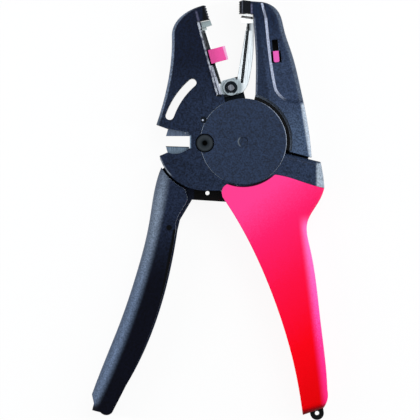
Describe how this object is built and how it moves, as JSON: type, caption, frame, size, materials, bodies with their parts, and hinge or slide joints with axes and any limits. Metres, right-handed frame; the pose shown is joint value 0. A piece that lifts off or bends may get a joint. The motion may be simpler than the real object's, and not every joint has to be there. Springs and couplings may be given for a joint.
{
  "type": "automatic wire stripper",
  "caption": "Pliers-type automatic wire stripper with toothed jaws, sprung lever handle, sliding blade carriage, length stop and side cutter.",
  "frame": {"origin": "on the main pivot axis, in the plane of the rear face that the tool lies on", "axes": "+Y towards the jaw tips along the tool, +Z out of the front face, +X towards the right jaw"},
  "size_m": [0.1097, 0.1952, 0.02],
  "materials": {
    "black_plastic": "fine moulded grain",
    "cover_plastic": "fine moulded grain",
    "red_grip": "soft satin",
    "pink_plastic": "satin",
    "dark_steel": "blackened",
    "bright_steel": "brushed",
    "blade_steel": "ground",
    "grip_pad": "moulded teeth",
    "bronze": "turned",
    "spring_steel": "drawn wire"
  },
  "bodies": {
    "frame": {"frame_rear": "black_plastic", "frame_front": "black_plastic", "hub_cover_rear": "cover_plastic", "hub_cover_front": "cover_plastic", "grip_sleeve": "red_grip", "main_pivot_pin": "bright_steel", "lever_pivot_rivet": "dark_steel", "frame_dowels": "dark_steel", "fixed_cutter_blade": "blade_steel", "cutter_blade_pins": "bright_steel", "lanyard_eye": "black_plastic", "left_grip_pad": "grip_pad", "return_spring": "spring_steel", "spring_post": "bright_steel"},
    "lever": {"lever_plate": "dark_steel", "lever_bush": "bronze", "lever_grip_rear": "black_plastic", "lever_grip_front": "black_plastic", "lever_grip_pins": "dark_steel", "drive_pin": "bright_steel", "moving_cutter_blade": "blade_steel", "moving_blade_rivets": "bright_steel"},
    "right_jaw": {"right_jaw_rear": "black_plastic", "right_jaw_front": "black_plastic", "jaw_dowels": "dark_steel", "right_grip_pad": "grip_pad"},
    "depth_slide": {"depth_slider": "pink_plastic"},
    "rocker": {"rocker": "bright_steel", "rocker_pin": "bright_steel"},
    "carriage": {"draw_plate": "dark_steel", "left_blade_arm": "bright_steel", "hub_pin": "bright_steel", "hub_clip": "bright_steel", "left_blade": "blade_steel"},
    "right_arm": {"right_blade_arm": "bright_steel", "arm_spring": "spring_steel", "right_blade": "blade_steel"},
    "stop": {"length_stop": "pink_plastic"}
  },
  "joints": [
    {"name": "lever_squeeze", "type": "hinge", "parent": "frame", "child": "lever", "pos_m": [-0.01792, -0.00065, 0.01], "axis": [0, 0, 1], "range_deg": [0, 36], "stiffness_Nm_per_rad": 1.5, "springref_deg": -14.32},
    {"name": "jaw_close", "type": "hinge", "parent": "frame", "child": "right_jaw", "pos_m": [0, 0, 0.01], "axis": [0, 0, 1], "range_deg": [0, 13]},
    {"name": "rocker_turn", "type": "hinge", "parent": "frame", "child": "rocker", "pos_m": [0, 0, 0.011], "axis": [0, 0, 1], "range_deg": [0, 75]},
    {"name": "carriage_pull", "type": "slide", "parent": "frame", "child": "carriage", "axis": [0.2588, -0.9659, 0], "range_m": [0, 0.014]},
    {"name": "right_arm_swing", "type": "hinge", "parent": "carriage", "child": "right_arm", "pos_m": [-0.00572, 0.02522, 0.01], "axis": [0, 0, 1], "range_deg": [0, 22]},
    {"name": "length_stop_slide", "type": "slide", "parent": "carriage", "child": "stop", "axis": [-0.2588, 0.9659, 0], "range_m": [-0.005, 0.0075]},
    {"name": "depth_slider_slide", "type": "slide", "parent": "right_jaw", "child": "depth_slide", "axis": [-0.0931, 0.9957, 0], "range_m": [0, 0.004]}
  ],
  "couplings": [
    {"joint": "jaw_close", "follows": "lever_squeeze", "ratio": 0.3611},
    {"joint": "rocker_turn", "follows": "lever_squeeze", "ratio": 2.0833},
    {"joint": "carriage_pull", "follows": "lever_squeeze", "m_per_rad": 0.02228},
    {"joint": "right_arm_swing", "follows": "lever_squeeze", "ratio": 0.6111}
  ]
}
